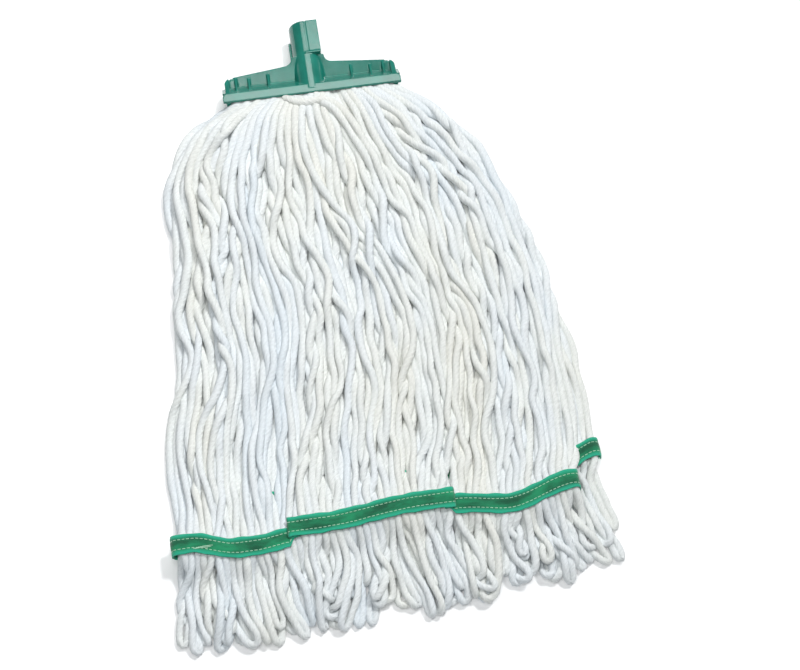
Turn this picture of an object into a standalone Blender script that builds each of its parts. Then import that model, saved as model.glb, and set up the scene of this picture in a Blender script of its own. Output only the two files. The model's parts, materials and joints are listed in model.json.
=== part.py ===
"""Head of a string mop, lying on the floor with the open back of its holder up.

+X runs along the holder's bar, +Y points out of the handle socket, +Z is up and the floor is z = 0.
The strings fold over a core rod inside the bar's channel and leave its mouth towards -Y as two
curtains, an upper and a lower one. A tail band of two tapes holds each curtain near its looped ends,
and the part of the strings beyond the band is its fringe. The curtains hinge on the lips of the
mouth, and the fringes hinge on the tail bands.
"""

import math

import bmesh
import bpy
from mathutils import Matrix, Vector

MM = 0.001

# Overall sizes, in millimetres.
SOCKET_END = 74.0  # from the channel's mouth to the end of the socket
STRING_LENGTH = 470.0  # from the mouth to the looped ends
AXIS_HEIGHT = 13.0  # the socket's axis above the floor
MOUTH_Y = (STRING_LENGTH - SOCKET_END) / 2  # puts the origin under the middle of the box
GAP = 0.35
CUT_CLEAR = 0.05  # keeps the channel's cutter off the walls it runs along

# Holder, in its own frame: y from the mouth towards the handle, z from the socket's axis.
WALL = 3.0
BAR_HALF = 75.5
PLATE_HALF = 73.0
PLATE_MIDDLE, PLATE_END = 37.5, 32.5  # the plate's depth beside the socket and at its ends
PLATE_CORNER = 5.0
PLATE_SLOPE = math.atan(0.5)
RAIL_TOP, RAIL_DEPTH = 12.0, 8.0
WEB_WALL, WEB_SLOPE = 2.5, math.atan(0.9)
END_WALL = 4.0
RIB_WALL = 1.8
RIBS = ((35.5, 28.5), (52.0, 27.0), (63.0, 28.5))  # each rib's place along the bar and how far back it reaches
SOCKET_R, BORE_R, BORE_START = 12.5, 10.0, 24.0
LATCH_START, LATCH_LEFT = 41.0, 2.6  # the squared strip along the socket's rear +X side
BOSS_X, BOSS_DEPTH, BOSS_R, BOSS_HIGH = 65.8, 26.5, 4.2, 1.4
PIN_R, PIN_HEAD_R, PIN_HEAD = 2.0, 3.6, 2.2
ROD_Y, ROD_Z, ROD_R = 6.0, -0.6, 2.0
ROD_HALF, ROD_HOLE_HALF = 71.6, 72.0
NECK_HALF = 68.4

# Curtains. Each profile is a list of (distance from the mouth, value).
HANKS = {"upper": 10, "lower": 8}
BAND_WIDTH, TAPE = 14.0, 0.9
BAND_AT = {"upper": 385.0, "lower": 355.0}
BAND_HALF = {"upper": 149.0, "lower": 158.0}
HANK_GAP = 0.6
HANK_START = 1.8  # from the mouth to the start of the curtains
HINGE_GAP = 2.0  # from a hank's end to its fringe
HALF_WIDTH = {
    "upper": [(0, 68), (15, 82), (50, 112), (110, 137), (200, 154), (300, 156), (385, 151), (470, 154)],
    "lower": [(0, 68), (15, 80), (50, 108), (110, 133), (200, 156), (300, 164), (355, 160), (470, 160)],
}
TOP = {
    "upper": [(0, 21), (20, 26), (60, 32), (150, 31), (300, 29), (374, 25), (396, 25), (430, 27), (470, 18)],
    "lower": [(0, 12.4), (25, 13.2), (340, 13.2), (347, 11.6), (363, 11.6), (370, 13.2), (440, 13), (470, 10)],
}
BOTTOM = {
    "upper": [(0, 13.6), (25, 14), (370, 14), (377, 15.6), (393, 15.6), (400, 14), (470, 14)],
    "lower": [(0, 4), (14, 1.2), (30, 0), (342, 0), (347, 1.3), (366, 1.3), (372, 0), (470, 0)],
}
EDGE_THINNING = {"upper": 0.35, "lower": 0.2}
SAMPLES = {
    "strings": (0, 12, 28, 60, 110, 180, 260, 330, 341, 347, 362, 369, 377, 392),
    "fringe": (0, 8, 30, 52, 70, 105),
}
STITCH_R, STITCH_INSET = 0.4, 3.2


def collection(name):
    made = bpy.data.collections.new(name)
    bpy.context.scene.collection.children.link(made)
    return made


def material(name, colour, roughness, metallic=0.0):
    made = bpy.data.materials.new(name)
    made.use_nodes = True
    shader = made.node_tree.nodes["Principled BSDF"]
    shader.inputs["Base Color"].default_value = (*colour, 1)
    shader.inputs["Roughness"].default_value = roughness
    shader.inputs["Metallic"].default_value = metallic
    return made


for old in list(bpy.data.objects):
    bpy.data.objects.remove(old, do_unlink=True)
MOP, TOOLS = collection("string_mop"), collection("tools")
GREEN_PLASTIC = material("green_plastic", (0.02, 0.36, 0.26), 0.38)
DARK_STEEL = material("dark_steel", (0.03, 0.03, 0.03), 0.5, 0.6)
ZINC_WIRE = material("zinc_wire", (0.55, 0.56, 0.58), 0.35, 1.0)
COTTON = material("cotton", (0.86, 0.85, 0.8), 0.95)
WEBBING = material("webbing", (0.75, 0.72, 0.62), 0.9)
GREEN_TAPE = material("green_tape", (0.01, 0.3, 0.12), 0.8)
THREAD = material("thread", (0.9, 0.95, 0.88), 0.8)


def empty(name, place, parent=None):
    made = bpy.data.objects.new(name, None)
    MOP.objects.link(made)
    made.location = Vector(place) * MM
    made.parent = parent
    return made


def part(name, mesh, look, parent=None):
    mesh.materials.clear()
    mesh.materials.append(look)
    made = bpy.data.objects.new(name, mesh)
    MOP.objects.link(made)
    made.parent = parent
    return made


def tool(name, mesh, parent):
    """A shape that is joined to a part or cut from it, and isn't a part itself."""
    made = bpy.data.objects.new(name, mesh)
    TOOLS.objects.link(made)
    made.hide_render = True
    made.display_type = "WIRE"
    made.parent = parent
    return made


def change(target, operation, shape):
    step = target.modifiers.new(operation.lower(), "BOOLEAN")
    step.operation = operation
    step.object = shape


def outline_mesh(name, outline, thickness, place):
    """A flat outline in x and y, given a thickness about its plane and then placed, in millimetres."""
    curve = bpy.data.curves.new(name, "CURVE")
    curve.dimensions = "2D"
    curve.fill_mode = "BOTH"
    curve.extrude = thickness / 2 * MM
    spline = curve.splines.new("POLY")
    spline.points.add(len(outline) - 1)
    for point, (x, y) in zip(spline.points, outline, strict=True):
        point.co = (x * MM, y * MM, 0, 1)
    spline.use_cyclic_u = True
    source = bpy.data.objects.new(name, curve)
    MOP.objects.link(source)
    mesh = bpy.data.meshes.new_from_object(source.evaluated_get(bpy.context.evaluated_depsgraph_get()))
    bpy.data.objects.remove(source)
    bpy.data.curves.remove(curve)
    work = bmesh.new()
    work.from_mesh(mesh)
    bmesh.ops.remove_doubles(work, verts=work.verts, dist=1e-6)
    bmesh.ops.transform(work, matrix=Matrix.Scale(MM, 4) @ place @ Matrix.Scale(1 / MM, 4), verts=work.verts)
    bmesh.ops.recalc_face_normals(work, faces=work.faces)
    work.to_mesh(mesh)
    work.free()
    return mesh


# Turns an outline drawn in (y, z) so that its thickness runs along X.
ACROSS = Matrix(((0, 0, 1, 0), (1, 0, 0, 0), (0, 1, 0, 0), (0, 0, 0, 1)))


def slab(name, outline, x0, x1):
    """An outline in (y, z) that reaches from x0 to x1."""
    return outline_mesh(name, outline, x1 - x0, Matrix.Translation(((x0 + x1) / 2, 0, 0)) @ ACROSS)


def cylinder_mesh(name, r, start, end, sides=32, r_end=None):
    """A round bar, or a cone, between two points in millimetres."""
    start, end = Vector(start) * MM, Vector(end) * MM
    along = end - start
    turn = Vector((0, 0, 1)).rotation_difference(along).to_matrix().to_4x4()
    work = bmesh.new()
    bmesh.ops.create_cone(
        work,
        cap_ends=True,
        segments=sides,
        radius1=r * MM,
        radius2=(r if r_end is None else r_end) * MM,
        depth=along.length,
        matrix=Matrix.Translation((start + end) / 2) @ turn,
    )
    mesh = bpy.data.meshes.new(name)
    work.to_mesh(mesh)
    work.free()
    return mesh


def box_mesh(name, low, high, turn=0.0):
    """A box between two corners, then turned about the socket's axis."""
    low, high = Vector(low), Vector(high)
    size = (high - low) * MM
    scale = Matrix.Diagonal((*size, 1))
    work = bmesh.new()
    spin = Matrix.Rotation(turn, 4, "Y")
    bmesh.ops.create_cube(work, size=1, matrix=spin @ Matrix.Translation((low + high) / 2 * MM) @ scale)
    mesh = bpy.data.meshes.new(name)
    work.to_mesh(mesh)
    work.free()
    return mesh


def arc(centre, r, start, end, steps):
    """Points on an arc, with its angles in degrees."""
    turns = [math.radians(start + (end - start) * i / steps) for i in range(steps + 1)]
    return [(centre[0] + r * math.cos(t), centre[1] + r * math.sin(t)) for t in turns]


def offset_path(path, distance):
    """An open path moved sideways, to the right of its direction."""
    lines = []
    for (ay, az), (by, bz) in zip(path, path[1:], strict=False):
        length = math.hypot(by - ay, bz - az)
        side = ((bz - az) / length * distance, -(by - ay) / length * distance)
        lines.append(((ay + side[0], az + side[1]), (by + side[0], bz + side[1])))
    moved = [lines[0][0]]
    for (p, q), (r, s) in zip(lines, lines[1:], strict=False):
        d1, d2 = (q[0] - p[0], q[1] - p[1]), (s[0] - r[0], s[1] - r[1])
        t = ((r[0] - p[0]) * d2[1] - (r[1] - p[1]) * d2[0]) / (d1[0] * d2[1] - d1[1] * d2[0])
        moved.append((p[0] + t * d1[0], p[1] + t * d1[1]))
    return [*moved, lines[-1][1]]


def plate_outer_z(y):
    return -AXIS_HEIGHT + (y - WALL * math.sin(PLATE_SLOPE)) * math.tan(PLATE_SLOPE)


def plate_inner_z(y):
    return plate_outer_z(y) + WALL / math.cos(PLATE_SLOPE)


def web_outer_z(y):
    return RAIL_TOP - (y - RAIL_DEPTH) * math.tan(WEB_SLOPE)


def web_inner_z(y):
    return web_outer_z(y) - WEB_WALL / math.cos(WEB_SLOPE)


def meet(line_a, line_b):
    """Where two straight lines z(y) cross."""
    a0, b0 = line_a(0), line_b(0)
    return (a0 - b0) / ((line_b(1) - b0) - (line_a(1) - a0))


def channel():
    """The channel's inside, from its upper lip round the fold to its lower lip, in (y, z)."""
    apex = meet(web_inner_z, plate_inner_z)
    ceiling = RAIL_TOP - WALL
    turn = meet(web_inner_z, lambda _: ceiling)
    return [(0, ceiling), (turn, ceiling), (apex, plate_inner_z(apex)), (0, plate_inner_z(0))]


def on_plate():
    """The placement of things drawn on the plate: x along the bar, y up the slope, z out of its rear face."""
    lip = Matrix.Translation((0, WALL * math.sin(PLATE_SLOPE), -AXIS_HEIGHT))
    return lip @ Matrix.Rotation(PLATE_SLOPE, 4, "X")


def plate_mesh():
    """The sloping front plate, with a stepped flare into the socket on each side."""
    corner = PLATE_CORNER
    half, end, middle, r = PLATE_HALF, PLATE_END, PLATE_MIDDLE, SOCKET_R
    arcs = arc((half - corner, end - corner), corner, 0, 90, 4)
    flare = [(r + 1.4 + 8 * (1 - t) ** 2, middle - 0.6 + 7 * t**2) for t in (0, 0.25, 0.5, 0.75, 1)]
    right = [*arcs, *flare, (r - 2, middle + 6.4)]
    left = [(-x, y) for x, y in reversed(right)]
    outline = [(-half, 0), (half, 0), *right, *left]
    place = on_plate() @ Matrix.Translation((0, 0, WALL / 2))
    return outline_mesh("plate", outline, WALL, place)


def rear_wall():
    """The raised rail along the mouth and the web that closes the channel behind it, in (y, z)."""
    foot = meet(web_outer_z, plate_inner_z) + 0.9
    inner_foot = meet(web_inner_z, plate_inner_z) + 0.9
    (_, ceiling), (turn, _), _, _ = channel()
    return [
        (0, ceiling),
        (turn, ceiling),
        (inner_foot, web_inner_z(inner_foot)),
        (foot, web_outer_z(foot)),
        (RAIL_DEPTH, RAIL_TOP),
        (0, RAIL_TOP),
    ]


def end_wall():
    """The wall that closes one end of the channel and of the pocket behind it, in (y, z)."""
    sink, back = 0.4, 29.0
    return [
        (2, plate_outer_z(2) + sink),
        (0, plate_inner_z(0)),
        (0, RAIL_TOP - sink),
        (RAIL_DEPTH + 1, RAIL_TOP - sink),
        (21, 7.0),
        (back - 2, plate_inner_z(back) + 1.8),
        (back, plate_inner_z(back) + 0.6),
        (back, plate_outer_z(back) + sink),
    ]


def rib(reach):
    """A gusset between the web and the plate, in (y, z)."""
    notch = meet(web_outer_z, plate_inner_z)
    return [
        (11.2, web_outer_z(11.2) - 1),
        (notch, plate_inner_z(notch) - 1),
        (reach, plate_inner_z(reach) - 1),
        (reach, plate_inner_z(reach) + 0.4),
        (20, 6.2),
        (11.2, web_outer_z(11.2) + 0.2),
    ]


def joined_shapes():
    """Every shape that the holder's rear wall is joined with."""
    yield plate_mesh()
    for side in (-1, 1):
        wall = sorted((side * (PLATE_HALF - END_WALL - 0.1), side * (PLATE_HALF - 0.1)))
        yield slab("end_wall", end_wall(), *wall)
        boss = cylinder_mesh("boss", BOSS_R, (0, 0, 1), (0, 0, WALL + BOSS_HIGH), 20)
        boss.transform(Matrix.Scale(MM, 4) @ on_boss(side) @ Matrix.Scale(1 / MM, 4))
        yield boss
        for x, reach in RIBS:
            yield slab("rib", rib(reach), side * x - RIB_WALL / 2, side * x + RIB_WALL / 2)
    yield cylinder_mesh("socket", SOCKET_R, (0, 4, 0), (0, SOCKET_END, 0))
    side = SOCKET_R - 0.2
    yield box_mesh("fin", (-SOCKET_R - 1.8, 33, -1), (1 - SOCKET_R, 60, 1))
    yield box_mesh("latch", (LATCH_LEFT, LATCH_START, 2), (side, SOCKET_END - 0.01, side + 0.3))
    yield box_mesh("ledge", (LATCH_LEFT - 4, LATCH_START - 1.6, 4), (side - 0.7, LATCH_START + 0.1, side + 0.9))


def on_boss(side):
    return on_plate() @ Matrix.Translation((side * BOSS_X, BOSS_DEPTH, 0))


def cut_shapes():
    """Every shape that is cut from the holder."""
    (y0, z0), *inside, (y1, z1) = channel()
    opening = [(y0 - 3, z0), *inside, (y1 - 3, z1 - 3 * math.tan(PLATE_SLOPE))]
    half = PLATE_HALF - END_WALL
    yield slab("channel", offset_path(opening, -CUT_CLEAR), -half, half)
    yield cylinder_mesh("bore", BORE_R, (0, BORE_START, 0), (0, SOCKET_END + 5, 0))
    chamfer = (0, SOCKET_END - 0.8, 0), (0, SOCKET_END + 0.8, 0)
    yield cylinder_mesh("chamfer", BORE_R, *chamfer, 32, BORE_R + 1.6)
    rod = (-ROD_HOLE_HALF, ROD_Y, ROD_Z), (ROD_HOLE_HALF, ROD_Y, ROD_Z)
    yield cylinder_mesh("rod_hole", ROD_R + GAP, *rod, 16)
    yield box_mesh("groove", (LATCH_LEFT - 1, LATCH_START + 2, BORE_R + 0.6), (LATCH_LEFT, SOCKET_END + 1, 14))
    yield box_mesh("front_slot", (LATCH_LEFT - 0.2, LATCH_START + 6, -13), (LATCH_LEFT + 0.9, SOCKET_END - 7, -10.3))
    for side in (-1, 1):
        ear = [(side * 73.3, 8.5), (side * 76.5, 8.5), (side * 76.5, 4.2), (side * 75.2, 6.0)]
        yield outline_mesh("ear_corner", ear, 8, Matrix.Translation((0, 0, 9)))
        hole = cylinder_mesh("pin_hole", PIN_R + GAP, (0, 0, -1), (0, 0, WALL + BOSS_HIGH - 1), 16)
        hole.transform(Matrix.Scale(MM, 4) @ on_boss(side) @ Matrix.Scale(1 / MM, 4))
        yield hole


def holder_part(parent):
    """The one-piece moulding: bar, channel, ribs, bosses and handle socket."""
    holder = part("holder", slab("holder", rear_wall(), -BAR_HALF, BAR_HALF), GREEN_PLASTIC, parent)
    for mesh in joined_shapes():
        change(holder, "UNION", tool(mesh.name, mesh, parent))
    for mesh in cut_shapes():
        change(holder, "DIFFERENCE", tool(mesh.name, mesh, parent))


def pin_part(name, side, parent):
    """A headed pin pushed into a corner boss from the front of the plate."""
    tip, place = WALL + BOSS_HIGH - 1 - GAP, Matrix.Scale(MM, 4) @ on_boss(side) @ Matrix.Scale(1 / MM, 4)
    shaft = cylinder_mesh(name, PIN_R, (0, 0, -GAP - 1), (0, 0, tip), 16)
    head = cylinder_mesh(name + "_head", PIN_HEAD_R, (0, 0, -GAP), (0, 0, -GAP - PIN_HEAD), 20, PIN_HEAD_R * 0.72)
    shaft.transform(place)
    head.transform(place)
    pin = part(name, shaft, DARK_STEEL, parent)
    change(pin, "UNION", tool(name + "_head", head, parent))


def core_rod_part(parent):
    """The wire that the strings fold over."""
    ends = (-ROD_HALF, ROD_Y, ROD_Z), (ROD_HALF, ROD_Y, ROD_Z)
    part("core_rod", cylinder_mesh("core_rod", ROD_R, *ends, 16), ZINC_WIRE, parent)


def headband_part(parent):
    """The webbing sewn round the fold of the strings."""
    (_, ceiling), *inside, _ = channel()
    path = [(2.5, ceiling), *inside, (2.5, plate_inner_z(2.5))]
    outline = [*offset_path(path, GAP), *reversed(offset_path(path, GAP + 0.8))]
    part("headband", slab("headband", outline, -NECK_HALF, NECK_HALF), WEBBING, parent)


def neck_part(parent):
    """The folded middle of all the strings, packed in the channel round the core rod."""
    outer = offset_path(channel(), 2 * GAP + 0.8)
    slit, reach = 0.5, ROD_R + GAP
    angle = math.degrees(math.asin(slit / reach))
    inner = arc((ROD_Y, ROD_Z), reach, angle - 180, 180 - angle, 12)
    outline = [*outer, (0, ROD_Z - slit), *inner, (0, ROD_Z + slit)]
    part("neck_strings", slab("neck_strings", outline, -NECK_HALF, NECK_HALF), COTTON, parent)


def profile(stations, s):
    """The value of a profile at a distance from the mouth, eased between its stations."""
    for (s0, a), (s1, b) in zip(stations, stations[1:], strict=False):
        if s <= s1:
            t = max(0.0, (s - s0) / (s1 - s0))
            return a + (b - a) * t * t * (3 - 2 * t)
    return stations[-1][1]


def surface(curtain, s, u, face):
    """The height of a curtain's top or bottom at u, from -1 at its left edge to 1 at its right."""
    low, high = profile(BOTTOM[curtain], s), profile(TOP[curtain], s)
    if face == "bottom":
        return low
    return low + (high - low) * (1 - EDGE_THINNING[curtain] * u**4)


def section(curtain, s, index):
    """One eight-sided cross-section of a hank, with its corners cut."""
    half = profile(HALF_WIDTH[curtain], s)
    count = HANKS[curtain]
    left = (2 * index / count - 1) * half + HANK_GAP / 2
    right = (2 * (index + 1) / count - 1) * half - HANK_GAP / 2
    cut = 0.16 * (right - left)
    top_left, top_right = (surface(curtain, s, x / half, "top") for x in (left, right))
    low = surface(curtain, s, 0, "bottom")
    drop = 0.3 * (min(top_left, top_right) - low)
    return [
        (left + cut, low),
        (right - cut, low),
        (right, low + drop * 0.6),
        (right, top_right - drop),
        (right - cut, top_right),
        (left + cut, top_left),
        (left, top_left - drop),
        (left, low + drop * 0.6),
    ]


def loft(name, rings, look, parent):
    """A closed solid through rings of world points in millimetres, placed on its parent's origin."""
    origin = parent.matrix_world.translation / MM
    work = bmesh.new()
    loops = [[work.verts.new((Vector(p) - origin) * MM) for p in ring] for ring in rings]
    for a, b in zip(loops, loops[1:], strict=False):
        for i in range(len(a)):
            j = (i + 1) % len(a)
            work.faces.new((a[i], a[j], b[j], b[i]))
    work.faces.new(loops[0])
    work.faces.new(reversed(loops[-1]))
    bmesh.ops.recalc_face_normals(work, faces=work.faces)
    mesh = bpy.data.meshes.new(name)
    work.to_mesh(mesh)
    work.free()
    return part(name, mesh, look, parent)


def hank_parts(curtain, kind, start, end, parent):
    """The hanks of one curtain, or of its fringe, side by side."""
    stops = [start + d for d in SAMPLES[kind] if start + d < end - 4] + [end]
    for index in range(HANKS[curtain]):
        rings = [[(x, MOUTH_Y - s, z) for x, z in section(curtain, s, index)] for s in stops]
        loft(f"{curtain}_{kind}_{index + 1:02d}", rings, COTTON, parent)


def tape_ring(curtain, face, x, s0, s1, lift, thick):
    """The cross-section at x of a strip that lies on one face of a curtain."""
    half = profile(HALF_WIDTH[curtain], (s0 + s1) / 2)
    z = surface(curtain, (s0 + s1) / 2, x / half, face)
    near, far = (z + lift, z + lift + thick) if face == "top" else (z - lift - thick, z - lift)
    y0, y1 = MOUTH_Y - s0, MOUTH_Y - s1
    return [(x, y0, near), (x, y1, near), (x, y1, far), (x, y0, far)]


def band_parts(curtain, parent):
    """A tail band: a tape on each face of the curtain, and two rows of stitching on the upper tape."""
    middle, reach = BAND_AT[curtain], BAND_HALF[curtain]
    s0, s1 = middle - BAND_WIDTH / 2, middle + BAND_WIDTH / 2
    places = [reach * (i / 12 - 1) for i in range(25)]
    for face, name in (("top", "upper_tape"), ("bottom", "under_tape")):
        rings = [tape_ring(curtain, face, x, s0, s1, GAP, TAPE) for x in places]
        loft(f"{curtain}_band_{name}", rings, GREEN_TAPE, parent)
    lift = GAP + TAPE + GAP
    for row, s in enumerate((s0 + STITCH_INSET, s1 - STITCH_INSET), start=1):
        rings = [tape_ring(curtain, "top", x, s - STITCH_R, s + STITCH_R, lift, STITCH_R) for x in places]
        loft(f"{curtain}_band_stitch_row_{row}", rings, THREAD, parent)


def curtain_parts(curtain, neck_z, band_z):
    """One curtain on its hinge at the mouth's lip, with its fringe on a hinge at the tail band."""
    end = BAND_AT[curtain] + BAND_WIDTH / 2 + 0.5
    neck = empty(f"{curtain}_neck_hinge", (0, MOUTH_Y, neck_z))
    band = empty(f"{curtain}_band_hinge", (0, -end, band_z - neck_z), neck)
    bpy.context.view_layer.update()
    hank_parts(curtain, "strings", HANK_START, end, neck)
    band_parts(curtain, neck)
    hank_parts(curtain, "fringe", end + HINGE_GAP, STRING_LENGTH, band)


def build():
    base = empty("holder_frame", (0, MOUTH_Y, AXIS_HEIGHT))
    bpy.context.view_layer.update()
    holder_part(base)
    pin_part("corner_pin_left", -1, base)
    pin_part("corner_pin_right", 1, base)
    core_rod_part(base)
    headband_part(base)
    neck_part(base)
    curtain_parts("upper", AXIS_HEIGHT + RAIL_TOP - WALL, profile(TOP["upper"], BAND_AT["upper"]))
    curtain_parts("lower", AXIS_HEIGHT + plate_inner_z(0), 1.0)


build()
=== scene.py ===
"""Looks of the string mop: every yarn, tape, stitch and moulded edge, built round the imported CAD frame.

+X runs along the holder's bar, +Y points out of the handle socket and the floor is z = 0. Shapes are
worked out in millimetres and written to Blender in metres. A place along a curtain is given as its
distance s from the mouth of the holder, towards -Y.
"""

import json
import math

import bmesh
import bpy
import numpy as np
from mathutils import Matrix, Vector


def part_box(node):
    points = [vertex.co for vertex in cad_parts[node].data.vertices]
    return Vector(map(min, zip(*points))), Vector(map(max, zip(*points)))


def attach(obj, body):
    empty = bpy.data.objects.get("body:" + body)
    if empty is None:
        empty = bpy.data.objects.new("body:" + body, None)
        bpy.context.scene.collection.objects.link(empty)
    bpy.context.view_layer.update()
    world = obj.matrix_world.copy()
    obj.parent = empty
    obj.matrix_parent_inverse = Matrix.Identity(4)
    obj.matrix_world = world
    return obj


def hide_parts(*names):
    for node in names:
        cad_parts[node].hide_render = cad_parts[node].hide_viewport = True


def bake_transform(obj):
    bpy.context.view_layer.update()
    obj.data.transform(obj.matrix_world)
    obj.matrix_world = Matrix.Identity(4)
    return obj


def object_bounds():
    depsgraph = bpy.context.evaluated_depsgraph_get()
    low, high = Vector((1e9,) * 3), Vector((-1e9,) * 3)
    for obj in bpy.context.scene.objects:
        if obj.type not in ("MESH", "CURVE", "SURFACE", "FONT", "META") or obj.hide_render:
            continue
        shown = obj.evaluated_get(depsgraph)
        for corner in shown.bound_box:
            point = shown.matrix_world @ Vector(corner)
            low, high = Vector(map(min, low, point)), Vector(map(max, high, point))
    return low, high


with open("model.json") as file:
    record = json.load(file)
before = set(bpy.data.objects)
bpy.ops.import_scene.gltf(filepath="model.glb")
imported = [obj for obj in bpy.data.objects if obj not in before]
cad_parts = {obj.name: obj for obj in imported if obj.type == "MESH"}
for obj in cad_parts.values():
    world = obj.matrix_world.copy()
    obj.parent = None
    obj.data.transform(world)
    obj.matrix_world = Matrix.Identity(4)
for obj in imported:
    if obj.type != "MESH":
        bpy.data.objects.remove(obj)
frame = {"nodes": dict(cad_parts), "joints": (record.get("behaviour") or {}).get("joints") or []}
cad_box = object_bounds()

MM = 0.001
RANDOM = np.random.default_rng(7)


# --- Sizes taken from the frame, in millimetres ---


def node_box(name):
    """A node's lowest and highest corners."""
    low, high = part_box(name)
    return np.array(low) / MM, np.array(high) / MM


def nodes_named(start):
    """The names of the nodes that begin with start, in order."""
    return [name for name in sorted(frame["nodes"]) if name.startswith(start)]


SIDES = ("upper", "lower")
HINGES = {joint["name"]: np.array(joint["pos_m"]) / MM for joint in frame["joints"]}
MOUTH_Y = HINGES["upper_neck"][1]
HANKS = {side: nodes_named(f"{side}_strings_") for side in SIDES}
FRINGES = {side: nodes_named(f"{side}_fringe_") for side in SIDES}
TAPE_BOX = {side: node_box(f"{side}_band_upper_tape") for side in SIDES}
BAND_S = {side: MOUTH_Y - float(np.mean([corner[1] for corner in TAPE_BOX[side]])) for side in SIDES}
TAPE_WIDTH = TAPE_BOX["upper"][1][1] - TAPE_BOX["upper"][0][1]
TAPE_HALF = 0.55 * TAPE_WIDTH  # its selvedges spread a little
MIDDLE_FRINGE = FRINGES["upper"][len(FRINGES["upper"]) // 2]
END_S = MOUTH_Y - node_box(MIDDLE_FRINGE)[0][1]
FABRIC_SHARE, FABRIC_MARGIN = 0.03, 10  # how far the strings are let stand past the CAD box's sides
CAD_WIDTH = cad_box[1][0] - cad_box[0][0]  # in metres, like cad_box

# --- The strings ---

LOOPS_IN_HANK = {"upper": 6, "lower": 4}
YARN_R = 3.25
TOUCH = 0.9  # strings sink into each other until they are this share of their radii apart
START_S = -3.0  # the strings start inside the channel
PINNED_S = 3.0  # up to here they are clamped by the mouth
POINT_GAP = 4.8  # between the simulated points of a string
MOUTH_ROWS = 4  # rows of strings on top of each other in the mouth
BAND_ROWS = 2
MOUTH_SQUASH, BAND_SQUASH = 0.5, 0.72  # the height of a string there, as a share of its width
ROW_RISE = 1.62 * YARN_R * BAND_SQUASH  # between the rows of strings under a tail band
STACK_HALF = ((BAND_ROWS - 1) / 2 * ROW_RISE) + YARN_R * BAND_SQUASH
MOUTH_HALF = 66  # half the width of the strings in the mouth
MOUTH_Z = {"upper": (14.2, 20.4), "lower": (4.6, 11.8)}  # of the strings in the mouth
PILE_Z = {"upper": (15.0, 31.0), "lower": (3.4, 13.0)}  # and past it, before they settle
SIDE_LIMIT = (cad_box[1][0] + FABRIC_SHARE * CAD_WIDTH) / MM + FABRIC_MARGIN - 1.15 * YARN_R
RIGHT_EDGE, RIGHT_RUN = 174, 102  # where a curtain's edge tends to, and the scale of its opening
LEFT_EDGE = {"upper": 128, "lower": 118}
LEFT_RUN = {"upper": 32, "lower": 36}
ARCHES = (79, 75)  # two strings of the upper curtain's top row that leave the mouth sideways
ARCH_S = (0, 3, 6, 9, 12, 15, 18, 24, 36)
ARCH_TURN = (1, 0.98, 0.82, 0.6, 0.38, 0.27, 0.2, 0.1, 0)  # how much of the way aside is left
ARCH_HELD = (0, 0, 1.6, 3.6, 4.6, 4, 2, 0.5, 0)  # how much nearer to the mouth
ARCH_RISE = (0, 0.35, 0.8, 1, 0.95, 0.8, 0.6, 0.35, 0)
PLEATS = (-65.5, 57.0)  # where the upper tail band is folded over itself, its middle length on top
STRAY = 4.5  # how many places a string typically strays on its way to the band
GROUP = 6  # strings that wander together
OPEN_LOOPS = 0.16  # share of the loops that stay open and untwisted
TAIL_Z = {"upper": 9.0, "lower": 3.6}  # the least height planned for the loops' ends
TAPE_THICK = 0.9
FOLD_LIFT = 2.5 * (TAPE_THICK + 0.15)  # how far a pleat lifts the middle length


def ease(value, start, end):
    """0 before start, 1 after end, and smooth in between."""
    share = np.clip((value - start) / (end - start), 0, 1)
    return share * share * (3 - 2 * share)


def bump(value, centre, width):
    """1 at the centre, falling to 0 over about twice the width."""
    return np.exp(-(((value - centre) / width) ** 2))


def opening(edge, run, s):
    """How far an edge stands from the middle as the strings spread from the mouth."""
    return edge - (edge - MOUTH_HALF) * np.exp(-s / run)


def half_width(side, s):
    """How far the left and the right edge of a curtain stand from the middle, at distance s."""
    s = np.maximum(s, 0)
    left = opening(LEFT_EDGE[side], LEFT_RUN[side], s)
    right = opening(RIGHT_EDGE, RIGHT_RUN, s)
    if side == "upper":
        left = left + 20 * ease(s, 150, 385) + 6 * ease(s, 400, 470)
        return left, right - 21 * ease(s, 270, 385) + 12 * ease(s, 398, 455)
    return left + 7 * ease(s, 150, 355) + 14 * ease(s, 370, 470), right + 3 * ease(s, 200, 350)


def across(side, share, s):
    """x at a share of the width, from -1 at the left edge to 1 at the right one."""
    left, right = half_width(side, s)
    return (right - left) / 2 + share * (right + left) / 2


def tape_rise(x):
    """How far the pleats lift the upper band's middle length over its outer ones."""
    near = np.minimum(x - PLEATS[0], PLEATS[1] - x)
    return FOLD_LIFT * (1 - 0.5 * ease(near, 4, 45))


def band_height(side, x):
    """Middle height of the strings under the tail band, before its pleats lift them."""
    if side == "upper":
        return 19.6 + 0.7 * np.sin(x / 21 + 0.6) + 0.35 * np.sin(x / 9.5)
    return 6.6 + 0.25 * np.sin(x / 17)


def pleat_step(x):
    """1 between the pleats, where the strings lie higher, and 0 outside them."""
    return ease(x, PLEATS[0] + 7, PLEATS[0] + 11) * (1 - ease(x, PLEATS[1] - 11, PLEATS[1] - 7))


def length_shift(number, x):
    """How far the upper band's left, middle or right length strays along +Y."""
    if number == 0:
        return -9 * ease(x, -140, -104) + 3.5 * ease(x, -92, -60)
    if number == 1:
        return 1 + 5.7 * ease(x, -45, 32)
    return 2 - 5.2 * ease(x, 58, 100) + 12 * ease(x, 98, 150)


def band_shift(side, x):
    """How far a tail band strays along +Y."""
    x = np.asarray(x, float)
    if side == "lower":
        return -5 * ease(x, 60, 140) + 14 * ease(x, 138, 175) + 1.5 * np.sin(x / 40)
    left, middle, right = (length_shift(number, x) for number in range(3))
    beyond = [ease(x, place - 4, place + 4) for place in PLEATS]
    return left + (middle - left) * beyond[0] + (right - middle) * beyond[1]


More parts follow.
